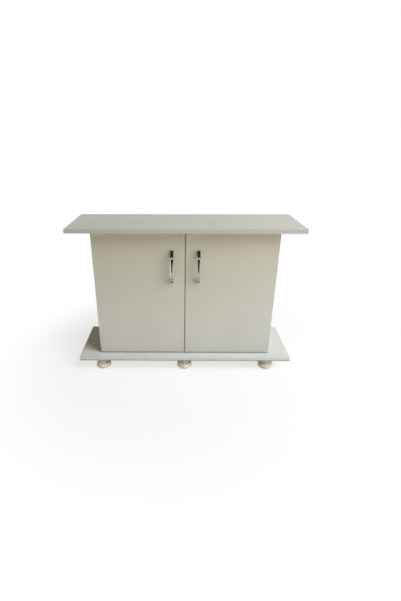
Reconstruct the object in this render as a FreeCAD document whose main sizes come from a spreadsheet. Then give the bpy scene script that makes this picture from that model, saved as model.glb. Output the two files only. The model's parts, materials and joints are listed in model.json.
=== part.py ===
import FreeCAD, Part
import math
import os
import Sketcher

# Two-door aquarium stand in white board: a top board and a base board of one size, a narrower
# cabinet between them, turned feet, bow handles and single-axis cup hinges.
# Millimetres, +Z up, doors towards -Y, origin on the floor under the middle of the stand.

SIZES = {
    # Top and base boards
    "board_length": 1000.0,
    "board_depth": 300.0,
    "board_thickness": 18.0,
    "edging_thickness": 1.0,
    "edging_round": 0.8,
    # Cabinet between the boards
    "board_overhang": 95.0,
    "carcass_height": 600.0,
    "panel_thickness": 18.0,
    "back_thickness": 3.0,
    "back_margin": 7.0,
    "back_end_gap": 1.0,
    "outlet_radius": 30.0,
    "outlet_height": 480.0,
    # Doors
    "door_thickness": 18.0,
    "door_setback": 44.0,
    "door_gap": 3.0,
    "door_reveal": 1.0,
    "door_end_gap": 3.0,
    "centre_gap": 3.0,
    # Turned feet
    "foot_height": 55.0,
    "foot_inset": 42.0,
    "foot_radius": 36.0,
    "foot_belly_height": 10.0,
    "foot_sole_radius": 26.0,
    "foot_neck_radius": 23.5,
    "foot_neck_height": 30.0,
    "foot_collar_radius": 27.0,
    "foot_collar_height": 6.0,
    "foot_cove_radius": 14.0,
    "foot_recess_radius": 8.0,
    "foot_recess_depth": 25.0,
    # Bow handles
    "handle_spacing": 128.0,
    "handle_end": 9.0,
    "handle_seat": 18.0,
    "handle_lip": 8.0,
    "handle_foot": 5.0,
    "handle_width": 14.0,
    "handle_facet": 6.4,
    "handle_strap": 6.0,
    "handle_knee_reach": 22.0,
    "handle_knee_rise": 23.0,
    "handle_shoulder": 6.7,
    "handle_shoulder_reach": 3.2,
    "handle_knee_radius": 12.0,
    "handle_inner_shoulder": 4.8,
    "handle_inner_shoulder_reach": 2.6,
    "handle_inner_knee_radius": 7.0,
    "handle_bow_radius": 330.0,
    "handle_front_round": 0.8,
    "handle_back_round": 1.2,
    "handle_bevel_overrun": 2.0,
    "handle_edge_distance": 56.5,
    "handle_top_distance": 155.0,
    "handle_thread_depth": 8.0,
    # Hinges: cup, pin, arm and mounting plate
    "hinge_end_distance": 100.0,
    "pivot_inset": 7.8,
    "pivot_depth": 9.2,
    "pin_radius": 1.25,
    "pin_clearance": 0.05,
    "eye_radius": 2.4,
    "cup_radius": 17.5,
    "cup_tab": 3.5,
    "cup_depth": 13.0,
    "cup_wall": 0.8,
    "flange_thickness": 1.0,
    "flange_margin": 1.0,
    "cup_screw_spacing": 48.0,
    "cup_screw_offset": 6.0,
    "cup_wing_radius": 6.5,
    "lug_thickness": 1.8,
    "lug_half_width": 2.4,
    "lug_gap": 0.5,
    "arm_width": 10.0,
    "arm_thickness": 1.8,
    "arm_bend_radius": 3.0,
    "hood_width": 17.0,
    "hood_wall": 1.3,
    "hood_drop": 2.8,
    "hood_round": 1.1,
    "hood_start": 14.0,
    "hood_length": 44.0,
    "plate_rib_height": 5.0,
    "plate_rib_width": 13.6,
    "plate_start": 13.0,
    "plate_length": 43.0,
    "wing_thickness": 1.6,
    "wing_width": 14.0,
    "wing_margin": 7.0,
    "wing_round": 3.0,
    "plate_screw_spacing": 32.0,
    "plate_setback": 37.0,
    "clamp_setback": 43.0,
    "adjuster_setback": 21.0,
    "clamp_slot_length": 10.0,
    # Screws, caps and nails
    "hole_clearance": 0.1,
    "tip_clearance": 2.0,
    "connector_head_radius": 5.0,
    "connector_head_height": 3.5,
    "connector_shank_radius": 3.5,
    "connector_core_radius": 2.5,
    "connector_length": 48.0,
    "connector_top_inset": 30.0,
    "connector_base_inset": 70.0,
    "cap_radius": 6.0,
    "cap_thickness": 1.5,
    "cap_sink": 0.1,
    "foot_screw_radius": 2.5,
    "foot_screw_head_radius": 5.0,
    "foot_screw_head_height": 3.0,
    "foot_screw_bite": 13.0,
    "plate_screw_radius": 2.0,
    "plate_screw_head_radius": 4.0,
    "plate_screw_head_height": 2.0,
    "plate_screw_bite": 12.0,
    "cup_screw_radius": 1.75,
    "cup_screw_head_radius": 3.4,
    "cup_screw_head_height": 1.6,
    "cup_screw_bite": 11.0,
    "arm_screw_radius": 2.0,
    "arm_screw_head_radius": 3.8,
    "arm_screw_head_height": 2.0,
    "arm_screw_bite": 4.0,
    "handle_screw_radius": 2.0,
    "handle_screw_head_radius": 4.0,
    "handle_screw_head_height": 2.4,
    "handle_screw_bite": 6.0,
    "nail_radius": 0.8,
    "nail_head_radius": 2.0,
    "nail_head_height": 0.8,
    "nail_bite": 17.0,
    "nail_end_distance": 60.0,
}

# How many nails hold the back panel to each upright
NAILS_PER_UPRIGHT = 5

# Lengths closer than this count as equal when edges are picked out
TOLERANCE = 1e-4

# How a sketch numbers the points of its elements
START, END, CENTRE = range(1, 4)

FULL_TURN = 360
HALF_TURN = 180
QUARTER_TURN = 90
X_AXIS = FreeCAD.Vector(1, 0, 0)
Y_AXIS = FreeCAD.Vector(0, 1, 0)
Z_AXIS = FreeCAD.Vector(0, 0, 1)
HEAD_DOWN = FreeCAD.Rotation(X_AXIS, HALF_TURN)
HEAD_BACK = FreeCAD.Rotation(X_AXIS, -QUARTER_TURN)
OTHER_HAND = FreeCAD.Rotation(Y_AXIS, HALF_TURN)

# A left door opens on its left edge. A hand turns left-hand places into right-hand ones.
HANDS = {"left": 1, "right": -1}

doc = FreeCAD.newDocument("aquarium_stand")
nodes = []


class Formula:
    """A formula on the sheet's cells, kept together with its present value."""

    def __init__(self, text, value):
        self.text = text
        self.value = value

    def joined(self, sign, other, value):
        return Formula(f"({self.text} {sign} {formula(other).text})", value)

    def __add__(self, other):
        return self.joined("+", other, self.value + formula(other).value)

    def __sub__(self, other):
        return self.joined("-", other, self.value - formula(other).value)

    def __mul__(self, other):
        return self.joined("*", other, self.value * formula(other).value)

    def __truediv__(self, other):
        return self.joined("/", other, self.value / formula(other).value)

    def __neg__(self):
        return Formula(f"(-{self.text})", -self.value)

    def __rmul__(self, other):
        return formula(other) * self


def formula(thing):
    """Plain numbers join in as constants."""
    if isinstance(thing, Formula):
        return thing
    return Formula(str(thing), thing)


class Sheet:
    """The spreadsheet of driving dimensions: each alias is also an attribute here."""

    def __init__(self, sizes):
        cells = doc.addObject("Spreadsheet::Sheet", "sizes")
        for row, (alias, value) in enumerate(sizes.items(), start=1):
            cells.set(f"A{row}", str(value))
            cells.setAlias(f"A{row}", alias)
            setattr(self, alias, Formula(f"sizes.{alias}", value))
        doc.recompute()


def root(amount):
    return Formula(f"sqrt({amount.text})", math.sqrt(amount.value))


def bind(thing, prop, amount):
    thing.setExpression(prop, formula(amount).text)


def place(thing, position, turn=None):
    """Set a piece at a position given by three formulas, turned first if asked."""
    if turn:
        thing.Placement = FreeCAD.Placement(FreeCAD.Vector(), turn)
    for axis, amount in zip("xyz", position):
        bind(thing, f"Placement.Base.{axis}", amount)


def new_body(label, position=(0, 0, 0)):
    body = doc.addObject("PartDesign::Body", label)
    body.Label = label
    place(body, position)
    return body


def node(thing):
    """List a finished piece for export."""
    nodes.append(thing)
    return thing


def sketch(body, plane, lift=0):
    """Empty sketch on one of the body's own origin planes, lifted along the plane's normal."""
    drawing = body.newObject("Sketcher::SketchObject", "drawing")
    origin_plane = next(part for part in body.Origin.OriginFeatures if part.Role == plane)
    drawing.AttachmentSupport = [(origin_plane, "")]
    drawing.MapMode = "FlatFace"
    bind(drawing, "AttachmentOffset.Base.z", lift)
    return drawing


def pin_point(drawing, geometry, end, point):
    """Hold one point of a sketch element at two formulas."""
    for kind, amount in zip(("DistanceX", "DistanceY"), point):
        held = Sketcher.Constraint(kind, geometry, end, float(formula(amount).value))
        index = drawing.addConstraint(held)
        bind(drawing, f"Constraints[{index}]", amount)


def hold_radius(drawing, geometry, radius):
    index = drawing.addConstraint(Sketcher.Constraint("Radius", geometry, formula(radius).value))
    bind(drawing, f"Constraints[{index}]", radius)


def vector(point):
    return FreeCAD.Vector(*(formula(amount).value for amount in point), 0)


def circle(drawing, centre, radius):
    ring = Part.Circle(vector(centre), Z_AXIS, formula(radius).value)
    geometry = drawing.addGeometry(ring, False)
    pin_point(drawing, geometry, CENTRE, centre)
    hold_radius(drawing, geometry, radius)


def arc_between(start, end, radius):
    """Arc that turns left from start to end, less than half a circle."""
    chord = end - start
    half = chord / 2
    height = math.sqrt(radius**2 - half.Length**2)
    inward = FreeCAD.Vector(-chord.y, chord.x, 0).normalize()
    centre = start + half + inward * height
    ring = Part.Circle(centre, Z_AXIS, radius)
    return Part.ArcOfCircle(ring, ring.parameter(start), ring.parameter(end))


def outline(drawing, corners, arcs=None):
    """Closed outline through the corners. arcs gives a side's radius and whether it turns left."""
    arcs = arcs or {}
    ends = []
    for side, corner in enumerate(corners):
        start = vector(corner)
        end = vector(corners[(side + 1) % len(corners)])
        if side not in arcs:
            geometry = drawing.addGeometry(Part.LineSegment(start, end), False)
            ends.append((geometry, START, END))
            continue
        radius, turns_left = arcs[side]
        first, last = (start, end) if turns_left else (end, start)
        curve = arc_between(first, last, formula(radius).value)
        geometry = drawing.addGeometry(curve, False)
        ends.append((geometry, START, END) if turns_left else (geometry, END, START))
    for side, corner in enumerate(corners):
        geometry, first, last = ends[side]
        following, start, _ = ends[(side + 1) % len(corners)]
        drawing.addConstraint(Sketcher.Constraint("Coincident", geometry, last, following, start))
        pin_point(drawing, geometry, first, corner)
    for side, (radius, _) in arcs.items():
        hold_radius(drawing, ends[side][0], radius)


def rectangle(drawing, low, high):
    outline(drawing, [low, (high[0], low[1]), high, (low[0], high[1])])


def extrude(body, kind, drawing, length, symmetric=False, reverse=False):
    """Pad or Pocket of one sketch."""
    feature = body.newObject(f"PartDesign::{kind}", kind)
    feature.Profile = drawing
    bind(feature, "Length", length)
    feature.SideType = "Symmetric" if symmetric else "One side"
    feature.Reversed = reverse
    drawing.Visibility = False
    return feature


def pad(body, drawing, length, **options):
    return extrude(body, "Pad", drawing, length, **options)


def pocket(body, drawing, length, **options):
    """Cut, and make sure that it took something away."""
    doc.recompute()
    before = body.Shape.Volume
    feature = extrude(body, "Pocket", drawing, length, **options)
    doc.recompute()
    if body.Shape.Volume >= before:
        raise RuntimeError(f"{body.Label}: a pocket cut nothing")
    return feature


def drill(body, plane, lift, centres, radius, depth, **options):
    """Round holes of one size from one plane."""
    drawing = sketch(body, plane, lift)
    for centre in centres:
        circle(drawing, centre, radius)
    return pocket(body, drawing, depth, **options)


def turned(body, corners, arcs=None):
    """Turn an outline in the XZ plane about the body's Z axis."""
    drawing = sketch(body, "XZ_Plane")
    outline(drawing, corners, arcs)
    feature = body.newObject("PartDesign::Revolution", "Revolution")
    feature.Profile = drawing
    feature.ReferenceAxis = (drawing, ["V_Axis"])
    feature.Angle = FULL_TURN
    return feature


def round_edges(body, chosen, radius):
    """Fillet the edges that the test picks out."""
    doc.recompute()
    base = body.Tip
    names = [f"Edge{i}" for i, edge in enumerate(base.Shape.Edges, start=1) if chosen(edge)]
    feature = body.newObject("PartDesign::Fillet", "Fillet")
    feature.Base = (base, names)
    bind(feature, "Radius", radius)
    doc.recompute()
    return feature


def same(first, second):
    return abs(first - second) < TOLERANCE


def copies(label, piece, seats):
    """One node of identical pieces, each linked to the master and set at its own seat."""
    links = []
    for position, turn in seats:
        link = doc.addObject("App::Link", f"{label}_copy")
        link.LinkedObject = piece
        place(link, position, turn)
        links.append(link)
    group = doc.addObject("Part::Compound", label)
    group.Label = label
    group.Links = links
    return node(group)


size = Sheet(SIZES)

# Heights above the floor
base_bottom = size.foot_height
carcass_floor = base_bottom + size.board_thickness
carcass_top = carcass_floor + size.carcass_height
stand_top = carcass_top + size.board_thickness
door_foot = carcass_floor + size.door_end_gap
door_height = size.carcass_height - 2 * size.door_end_gap
hinge_rows = {
    "upper": door_height - size.hinge_end_distance,
    "lower": size.hinge_end_distance,
}
handle_row = door_height - size.handle_top_distance

# Places from front to back
door_front = size.door_setback - size.board_depth / 2
door_back = door_front + size.door_thickness
carcass_front = door_back + size.door_gap
carcass_back = size.board_depth / 2 - size.back_margin - size.back_thickness
top_screw_rows = (carcass_front + size.connector_top_inset, carcass_back - size.connector_top_inset)
base_screw_rows = (carcass_front + size.connector_base_inset, carcass_back - size.connector_base_inset)
foot_row = size.board_depth / 2 - size.foot_inset

# Places from the middle outwards
carcass_width = size.board_length - 2 * size.board_overhang
side_centre = (carcass_width - size.panel_thickness) / 2
door_edge = carcass_width / 2 - size.door_reveal
door_width = door_edge - size.centre_gap / 2
uprights = {"left_side": -side_centre, "centre": formula(0), "right_side": side_centre}

# Screw seats that two pieces share
cap_recess = size.cap_thickness + size.cap_sink
connector_shank_end = size.board_thickness - cap_recess
connector_pilot = size.connector_length - connector_shank_end + size.tip_clearance
nail_step = (size.carcass_height - 2 * size.nail_end_distance) / (NAILS_PER_UPRIGHT - 1)
nail_rows = [size.nail_end_distance + nail_step * number for number in range(NAILS_PER_UPRIGHT)]

# Hinge lines, from the door's outer edge (x) and back face (y)
cup_centre = size.cup_tab + size.cup_radius
cup_screw_line = cup_centre + size.cup_screw_offset
panel_face = size.panel_thickness - size.door_reveal
web_inside = panel_face + size.plate_rib_height
web_outside = web_inside + size.arm_thickness
plate_screw_line = size.door_gap + size.plate_setback
clamp_line = size.door_gap + size.clamp_setback
adjuster_line = size.door_gap + size.adjuster_setback
pivot = (size.pivot_inset, -size.pivot_depth)
pin_length = size.arm_width + 2 * (size.lug_gap + size.lug_thickness)


def head_inwards(hand):
    """Turn a screw so that its head looks into the cabinet from a side panel."""
    return FreeCAD.Rotation(Y_AXIS, hand * QUARTER_TURN)


def hinge_seat(hand, row):
    """Where the hinge pieces of one hinge are set: the door's outer edge and back face."""
    turn = OTHER_HAND if hand < 0 else None
    return (-hand * door_edge, door_back, door_foot + row), turn


def edging_ring(label, plane, low, high, thickness, position):
    """Band of edging round a board, with its outer edges softened."""
    band = size.edging_thickness
    body = new_body(label, position)
    drawing = sketch(body, plane)
    rectangle(drawing, low, high)
    inset = []
    for first, last in zip(low, high):
        inward = 1 if last.value > formula(first).value else -1
        inset.append((formula(first) + inward * band, last - inward * band))
    rectangle(drawing, *zip(*inset))
    pad(body, drawing, thickness)
    spans = [abs(last.value - formula(first).value) for first, last in zip(low, high)]
    round_edges(body, lambda edge: any(same(edge.Length, span) for span in spans), size.edging_round)
    return node(body)


def board(label, bottom):
    """Board core that the edging goes round, about its own bottom centre."""
    half_length = size.board_length / 2
    half_depth = size.board_depth / 2
    band = size.edging_thickness
    core = (half_length - band, half_depth - band)
    body = new_body(label, (0, 0, bottom))
    drawing = sketch(body, "XY_Plane")
    rectangle(drawing, (-core[0], -core[1]), core)
    pad(body, drawing, size.board_thickness)
    corner = (half_length, half_depth)
    low = (-half_length, -half_depth)
    edging_ring(f"{label}_edging", "XY_Plane", low, corner, size.board_thickness, (0, 0, bottom))
    return node(body)


def screw_places(rows):
    return [(column, row) for column in uprights.values() for row in rows]


def drill_for_connectors(body, lift, rows, reverse):
    """Stepped holes for head and shank from the board's outer face."""
    places = screw_places(rows)
    head = size.connector_head_radius + size.hole_clearance
    shank = size.connector_shank_radius + size.hole_clearance
    head_depth = cap_recess + size.connector_head_height
    drill(body, "XY_Plane", lift, places, head, head_depth, reverse=reverse)
    drill(body, "XY_Plane", lift, places, shank, size.board_thickness, reverse=reverse)


def top_board():
    body = board("top_board", carcass_top)
    cap = size.cap_radius + size.hole_clearance
    drill(body, "XY_Plane", size.board_thickness, screw_places(top_screw_rows), cap, cap_recess)
    drill_for_connectors(body, size.board_thickness, top_screw_rows, reverse=False)


def foot_places():
    names = {"left": -side_centre, "middle": formula(0), "right": side_centre}
    rows = {"front": -foot_row, "back": foot_row}
    return {f"foot_{row}_{column}": (names[column], rows[row]) for row in rows for column in names}


def base_board():
    body = board("base_board", base_bottom)
    drill_for_connectors(body, 0, base_screw_rows, reverse=True)
    pilot = size.foot_screw_radius + size.hole_clearance
    depth = size.foot_screw_bite + size.tip_clearance
    drill(body, "XY_Plane", 0, foot_places().values(), pilot, depth, reverse=True)


def upright(label, column, hinge_hand=0):
    """Side panel or partition, with pilot holes for its screws and nails."""
    body = new_body(label, (column, 0, carcass_floor))
    half = size.panel_thickness / 2
    drawing = sketch(body, "XY_Plane")
    rectangle(drawing, (-half, carcass_front + size.edging_thickness), (half, carcass_back))
    pad(body, drawing, size.carcass_height)
    core = size.connector_core_radius + size.hole_clearance
    top_pilots = [(0, row) for row in top_screw_rows]
    base_pilots = [(0, row) for row in base_screw_rows]
    drill(body, "XY_Plane", size.carcass_height, top_pilots, core, connector_pilot)
    drill(body, "XY_Plane", 0, base_pilots, core, connector_pilot, reverse=True)
    nail = size.nail_radius + size.hole_clearance
    nail_pilots = [(0, row) for row in nail_rows]
    nail_depth = size.nail_bite + size.tip_clearance
    drill(body, "XZ_Plane", -carcass_back, nail_pilots, nail, nail_depth, reverse=True)
    if hinge_hand:
        drill_for_plates(body, hinge_hand)
    edging = doc.addObject("Part::Box", f"{label}_edging")
    bind(edging, "Length", size.panel_thickness)
    bind(edging, "Width", size.edging_thickness)
    bind(edging, "Height", size.carcass_height)
    place(edging, (column - half, carcass_front, carcass_floor))
    node(edging)
    return node(body)


def drill_for_plates(body, hand):
    """Pilot holes for the hinge plates in a side panel's inner face."""
    line = door_back + plate_screw_line
    rise = door_foot - carcass_floor
    reach = size.plate_screw_spacing / 2
    heights = [row + rise + side * reach for row in hinge_rows.values() for side in (-1, 1)]
    pilots = [(line, height) for height in heights]
    radius = size.plate_screw_radius + size.hole_clearance
    depth = size.plate_screw_bite + size.tip_clearance
    face = hand * size.panel_thickness / 2
    drill(body, "YZ_Plane", face, pilots, radius, depth, reverse=hand < 0)


def back_panel():
    """Thin back with a round hose and cable outlet behind each bay."""
    body = new_body("back_panel", (0, carcass_back, carcass_floor))
    half = carcass_width / 2
    drawing = sketch(body, "XZ_Plane")
    rectangle(drawing, (-half, size.back_end_gap), (half, size.carcass_height - size.back_end_gap))
    pad(body, drawing, size.back_thickness, reverse=True)
    outlets = [(side * side_centre / 2, size.outlet_height) for side in (-1, 1)]
    drill(body, "XZ_Plane", 0, outlets, size.outlet_radius, size.back_thickness)
    nails = [(column, row) for column in uprights.values() for row in nail_rows]
    nail = size.nail_radius + size.hole_clearance
    drill(body, "XZ_Plane", 0, nails, nail, size.back_thickness)
    return node(body)


def tangent_radius(reach, rise):
    """Radius of an arc that covers reach and rise and ends upright."""
    return (reach * reach + rise * rise) / (2 * reach)


def foot(label, column, row):
    """Turned bun foot, recessed from below for its screw."""
    sole = size.foot_sole_radius
    belly = (size.foot_radius, size.foot_belly_height)
    neck = (size.foot_neck_radius, size.foot_neck_height)
    collar = size.foot_collar_radius
    collar_foot = size.foot_height - size.foot_collar_height
    bore = size.foot_screw_radius + size.hole_clearance
    recess = size.foot_recess_radius
    corners = [
        (recess, 0),
        (sole, 0),
        belly,
        neck,
        (collar, collar_foot),
        (collar, size.foot_height),
        (bore, size.foot_height),
        (bore, size.foot_recess_depth),
        (recess, size.foot_recess_depth),
    ]
    lower = tangent_radius(size.foot_radius - sole, size.foot_belly_height)
    upper = tangent_radius(size.foot_radius - neck[0], neck[1] - size.foot_belly_height)
    arcs = {1: (lower, True), 2: (upper, True), 3: (size.foot_cove_radius, False)}
    body = new_body(label, (column, row, 0))
    turned(body, corners, arcs)
    return node(body)


def screw(label, radius, head_radius, head_height, length):
    """Dome-headed screw that points down from the origin, its head above."""
    dome = head_height / 2
    crown = (head_radius * head_radius + dome * dome) / (2 * dome)
    corners = [
        (0, -length),
        (radius, radius - length),
        (radius, 0),
        (head_radius, 0),
        (head_radius, dome),
        (0, head_height),
    ]
    body = new_body(label)
    turned(body, corners, {4: (crown, True)})
    return body


def connecting_screws():
    """Connecting screws: sunk head, plain shank through the board, core in the upright."""
    shank = size.connector_shank_radius
    core = size.connector_core_radius
    head = size.connector_head_radius
    corners = [
        (0, -size.connector_length),
        (core, core - size.connector_length),
        (core, -connector_shank_end),
        (shank, -connector_shank_end),
        (shank, -size.connector_head_height),
        (head, -size.connector_head_height),
        (head, 0),
        (0, 0),
    ]
    body = new_body("connector_master")
    turned(body, corners)
    top = stand_top - cap_recess
    base = base_bottom + cap_recess
    seats = [((column, row, top), None) for column, row in screw_places(top_screw_rows)]
    seats += [((column, row, base), HEAD_DOWN) for column, row in screw_places(base_screw_rows)]
    copies("connecting_screws", body, seats)


def caps():
    """Flat cover caps, set just under flush in the top board."""
    body = new_body("cap_master")
    drawing = sketch(body, "XY_Plane")
    circle(drawing, (0, 0), size.cap_radius)
    pad(body, drawing, size.cap_thickness)
    level = stand_top - cap_recess
    seats = [((column, row, level), None) for column, row in screw_places(top_screw_rows)]
    copies("screw_caps", body, seats)


def foot_screws():
    length = size.foot_height - size.foot_recess_depth + size.foot_screw_bite
    head = (size.foot_screw_head_radius, size.foot_screw_head_height)
    body = screw("foot_screw_master", size.foot_screw_radius, *head, length)
    level = size.foot_recess_depth
    seats = [((column, row, level), HEAD_DOWN) for column, row in foot_places().values()]
    copies("foot_screws", body, seats)


def nails():
    length = size.back_thickness + size.nail_bite
    head = (size.nail_head_radius, size.nail_head_height)
    body = screw("nail_master", size.nail_radius, *head, length)
    face = carcass_back + size.back_thickness
    places = [(column, row) for column in uprights.values() for row in nail_rows]
    seats = [((column, face, carcass_floor + row), HEAD_BACK) for column, row in places]
    copies("back_panel_nails", body, seats)


def door(side, hand):
    """Door core, bored for its cups and drilled for its handle, and its edging."""
    position = (-hand * door_edge, door_back, door_foot)
    band = size.edging_thickness
    body = new_body(f"{side}_door", position)
    drawing = sketch(body, "XZ_Plane")
    rectangle(drawing, (hand * band, band), (hand * (door_width - band), door_height - band))
    pad(body, drawing, size.door_thickness)
    cups = [(hand * cup_centre, row) for row in hinge_rows.values()]
    cup = size.cup_radius + size.hole_clearance
    drill(body, "XZ_Plane", 0, cups, cup, size.cup_depth + size.hole_clearance, reverse=True)
    pilots = [(hand * cup_screw_line, height) for height in cup_screw_heights()]
    pilot = size.cup_screw_radius + size.hole_clearance
    depth = size.cup_screw_bite + size.tip_clearance
    drill(body, "XZ_Plane", 0, pilots, pilot, depth, reverse=True)
    column = hand * (door_width - size.handle_edge_distance)
    holes = [(column, height) for height in handle_screw_heights()]
    hole = size.handle_screw_radius + size.hole_clearance
    drill(body, "XZ_Plane", 0, holes, hole, size.door_thickness, reverse=True)
    edge = (hand * door_width, door_height)
    edging_ring(f"{side}_door_edging", "XZ_Plane", (0, 0), edge, size.door_thickness, position)
    return node(body)


def cup_screw_heights():
    reach = size.cup_screw_spacing / 2
    return [row + side * reach for row in hinge_rows.values() for side in (-1, 1)]


def handle_screw_heights():
    return [handle_row + side * size.handle_spacing / 2 for side in (-1, 1)]


def handle_column(hand):
    return -hand * (door_edge - door_width + size.handle_edge_distance)


def handle(side, hand):
    """Bow handle: one strap on two slanted legs, with a bevel down each side of the bow."""
    end = size.handle_spacing / 2 + size.handle_end
    knee = (size.handle_knee_reach, end - size.handle_knee_rise)
    shoulder = (knee[0] + size.handle_shoulder_reach, knee[1] - size.handle_shoulder)
    inner = (shoulder[0] - size.handle_strap, shoulder[1] - size.handle_strap)
    inner_knee = (
        inner[0] - size.handle_inner_shoulder_reach,
        inner[1] + size.handle_inner_shoulder,
    )
    front = [(size.handle_lip, end), (size.handle_lip, end - size.handle_foot), knee, shoulder]
    back = [inner, inner_knee, (formula(0), end - size.handle_seat)]
    upper = [(formula(0), end), *front]
    lower = [(reach, -rise) for reach, rise in reversed(upper)]
    lower_back = [(reach, -rise) for reach, rise in reversed(back)]
    path = [(-reach, rise) for reach, rise in upper + lower + lower_back + back]
    bow = size.handle_bow_radius
    knee_arc = (size.handle_knee_radius, True)
    inner_arc = (size.handle_inner_knee_radius, False)
    arcs = {3: knee_arc, 4: (bow, True), 5: knee_arc, 11: inner_arc, 12: (bow, False), 13: inner_arc}
    body = new_body(f"{side}_handle", (handle_column(hand), door_front, door_foot + handle_row))
    drawing = sketch(body, "YZ_Plane")
    outline(drawing, path, arcs)
    pad(body, drawing, size.handle_width, symmetric=True)
    bores = [(0, side * size.handle_spacing / 2) for side in (-1, 1)]
    bore = size.handle_screw_radius + size.hole_clearance
    drill(body, "XZ_Plane", 0, bores, bore, size.handle_thread_depth, reverse=True)
    for corners, radius in ((front, size.handle_front_round), (back, size.handle_back_round)):
        reaches = [reach.value for reach, _ in corners]
        round_edges(body, lambda edge: runs_along(edge, reaches), radius)
    bevel_bow(body, shoulder, 2 * end)
    return node(body)


def bevel_bow(body, shoulder, length):
    """Slanted cut down each side of the bow: widest at its crown and gone at its knees."""
    bow = size.handle_bow_radius
    crown = shoulder[0] + bow - root(bow * bow - shoulder[1] * shoulder[1])
    side = size.handle_width / 2
    facet = size.handle_facet / 2
    spare = size.handle_bevel_overrun
    drawing = sketch(body, "XY_Plane")
    for hand in HANDS.values():
        corners = [
            (hand * (facet - spare), -(crown + spare)),
            (hand * (side + spare), -(crown + spare)),
            (hand * (side + spare), side - facet + spare - crown),
        ]
        outline(drawing, corners)
    pocket(body, drawing, length, symmetric=True)


def runs_along(edge, reaches):
    """True for a long edge of the handle's sides whose ends stand out by the given reaches."""
    points = [vertex.Point for vertex in edge.Vertexes]
    along = all(same(point.x, points[0].x) for point in points)
    outer = same(abs(points[0].x), size.handle_width.value / 2)
    listed = all(any(same(-point.y, reach) for reach in reaches) for point in points)
    off_the_door = any(-point.y > TOLERANCE for point in points)
    return along and outer and listed and off_the_door


def handle_screws(side, hand, master):
    column = handle_column(hand)
    heights = [door_foot + height for height in handle_screw_heights()]
    seats = [((column, door_back, height), HEAD_BACK) for height in heights]
    copies(f"{side}_handle_screws", master, seats)


def hinge_cup():
    """Pressed cup with a screw flange and two lugs for the pin."""
    body = new_body("hinge_cup_master")
    reach = size.cup_screw_spacing / 2
    wing = size.cup_wing_radius
    ends = [(cup_screw_line, side * reach) for side in (-1, 1)]
    rim = sketch(body, "XZ_Plane")
    circle(rim, (cup_centre, 0), size.cup_radius + size.flange_margin)
    pad(body, rim, size.flange_thickness, reverse=True)
    bar = sketch(body, "XZ_Plane")
    rectangle(bar, (cup_screw_line - wing, -reach), (cup_screw_line + wing, reach))
    pad(body, bar, size.flange_thickness, reverse=True)
    rounds = sketch(body, "XZ_Plane")
    for centre in ends:
        circle(rounds, centre, wing)
    pad(body, rounds, size.flange_thickness, reverse=True)
    shell = sketch(body, "XZ_Plane")
    circle(shell, (cup_centre, 0), size.cup_radius)
    pad(body, shell, size.cup_depth)
    hollow = size.flange_thickness + size.cup_depth - size.cup_wall
    inside = size.cup_radius - size.cup_wall
    mouth = -size.flange_thickness
    drill(body, "XZ_Plane", mouth, [(cup_centre, 0)], inside, hollow, reverse=True)
    lug_low = (size.pivot_inset - size.lug_half_width, size.cup_wall / 2 - size.cup_depth)
    lug_high = (size.pivot_inset + size.lug_half_width, size.lug_half_width - size.pivot_depth)
    inner_face = size.arm_width / 2 + size.lug_gap
    for lift in (inner_face, -inner_face - size.lug_thickness):
        lug = sketch(body, "XY_Plane", lift)
        rectangle(lug, lug_low, lug_high)
        pad(body, lug, size.lug_thickness)
    pin = size.pin_radius + size.pin_clearance
    drill(body, "XY_Plane", 0, [pivot], pin, pin_length, symmetric=True)
    hole = size.cup_screw_radius + size.hole_clearance
    drill(body, "XZ_Plane", mouth, ends, hole, size.flange_thickness, reverse=True)
    return body


def hinge_pin():
    body = new_body("hinge_pin_master")
    drawing = sketch(body, "XY_Plane")
    circle(drawing, pivot, size.pin_radius)
    pad(body, drawing, pin_length, symmetric=True)
    return body


def hinge_arm():
    """Cranked arm: an eye on the pin, a bent strip out of the cup and a hood over the plate."""
    body = new_body("hinge_arm_master")
    half = size.arm_thickness / 2
    low = pivot[1] - half
    high = pivot[1] + half
    bend = size.arm_bend_radius
    outer_bend = bend + size.arm_thickness
    tail = size.hood_start + size.arm_thickness
    strip = [
        (pivot[0], low),
        (web_outside - outer_bend, low),
        (web_outside, low + outer_bend),
        (web_outside, tail),
        (web_inside, tail),
        (web_inside, high + bend),
        (web_inside - bend, high),
        (pivot[0], high),
    ]
    drawing = sketch(body, "XY_Plane")
    outline(drawing, strip, {1: (outer_bend, True), 5: (bend, False)})
    pad(body, drawing, size.arm_width, symmetric=True)
    eye = sketch(body, "XY_Plane")
    circle(eye, pivot, size.eye_radius)
    pad(body, eye, size.arm_width, symmetric=True)
    bore = size.pin_radius + size.pin_clearance
    drill(body, "XY_Plane", 0, [pivot], bore, size.arm_width, symmetric=True)
    side = size.hood_width / 2
    lip = side - size.hood_wall
    drop = web_inside - size.hood_drop
    channel = [
        (drop, -side),
        (web_outside, -side),
        (web_outside, side),
        (drop, side),
        (drop, lip),
        (web_inside, lip),
        (web_inside, -lip),
        (drop, -lip),
    ]
    hood = sketch(body, "XZ_Plane", -size.hood_start)
    outline(hood, channel)
    pad(body, hood, size.hood_length, reverse=True)
    round_edges(body, lambda edge: along_hood(edge, side), size.hood_round)
    shank = size.arm_screw_radius + size.hole_clearance
    reach = size.clamp_slot_length / 2 - shank
    slot = sketch(body, "YZ_Plane", web_outside)
    rectangle(slot, (clamp_line - reach, -shank), (clamp_line + reach, shank))
    pocket(body, slot, size.arm_thickness)
    rounds = [(clamp_line - reach, 0), (clamp_line + reach, 0), (adjuster_line, 0)]
    drill(body, "YZ_Plane", web_outside, rounds, shank, size.arm_thickness)
    return body


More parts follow.
